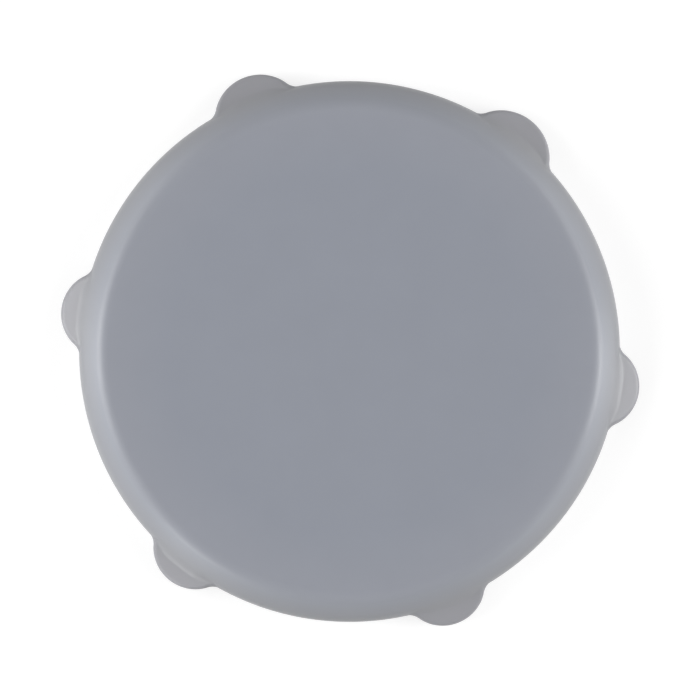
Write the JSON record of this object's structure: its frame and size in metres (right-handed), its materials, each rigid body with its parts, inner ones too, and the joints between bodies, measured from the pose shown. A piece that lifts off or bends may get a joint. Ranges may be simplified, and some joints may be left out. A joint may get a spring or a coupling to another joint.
{
  "type": "drain stopper",
  "caption": "Low round silicone cap that is laid over a drain and seals at its rim, with a steel disc inside that holds it flat and drooping ears that peel it off.",
  "frame": {"origin": "on the floor that the stopper lies on, under the middle of the cap", "axes": "+Z up through the flat face; the ears stand at even steps, the first at 52 degrees from +X towards +Y, as the picture shows them with +Y up"},
  "size_m": [0.1614, 0.1528, 0.014],
  "materials": {
    "cover_silicone": "satin moulded silicone",
    "tab_silicone": "thin satin silicone that lets some light through",
    "liner_silicone": "fine matt moulded silicone",
    "seal_silicone": "smooth soft silicone",
    "core_steel": "rolled stainless steel"
  },
  "bodies": {
    "cap": {"cover": "cover_silicone", "core_plate": "core_steel", "base_liner": "liner_silicone", "drain_ring": "seal_silicone"},
    "seal": {"seal_ring": "seal_silicone"},
    "tab_1": {"pull_tab_1": "tab_silicone"},
    "tab_2": {"pull_tab_2": "tab_silicone"},
    "tab_3": {"pull_tab_3": "tab_silicone"},
    "tab_4": {"pull_tab_4": "tab_silicone"},
    "tab_5": {"pull_tab_5": "tab_silicone"},
    "tab_6": {"pull_tab_6": "tab_silicone"}
  },
  "joints": [
    {"name": "seal_press", "type": "slide", "parent": "cap", "child": "seal", "axis": [0, 0, 1], "range_m": [-0.001, 0], "stiffness_N_per_m": 600, "springref_m": -0.0015},
    {"name": "tab_1_bend", "type": "hinge", "parent": "cap", "child": "tab_1", "pos_m": [0.04667, 0.05973, 0.0054], "axis": [0.788, -0.6157, 0], "range_deg": [-20, 60], "stiffness_Nm_per_rad": 0.01},
    {"name": "tab_2_bend", "type": "hinge", "parent": "cap", "child": "tab_2", "pos_m": [-0.0284, 0.07028, 0.0054], "axis": [0.9272, 0.3746, 0], "range_deg": [-20, 60], "stiffness_Nm_per_rad": 0.01},
    {"name": "tab_3_bend", "type": "hinge", "parent": "cap", "child": "tab_3", "pos_m": [-0.07506, 0.01055, 0.0054], "axis": [0.1392, 0.9903, 0], "range_deg": [-20, 60], "stiffness_Nm_per_rad": 0.01},
    {"name": "tab_4_bend", "type": "hinge", "parent": "cap", "child": "tab_4", "pos_m": [-0.04667, -0.05973, 0.0054], "axis": [-0.788, 0.6157, 0], "range_deg": [-20, 60], "stiffness_Nm_per_rad": 0.01},
    {"name": "tab_5_bend", "type": "hinge", "parent": "cap", "child": "tab_5", "pos_m": [0.0284, -0.07028, 0.0054], "axis": [-0.9272, -0.3746, 0], "range_deg": [-20, 60], "stiffness_Nm_per_rad": 0.01},
    {"name": "tab_6_bend", "type": "hinge", "parent": "cap", "child": "tab_6", "pos_m": [0.07506, -0.01055, 0.0054], "axis": [-0.1392, -0.9903, 0], "range_deg": [-20, 60], "stiffness_Nm_per_rad": 0.01}
  ]
}
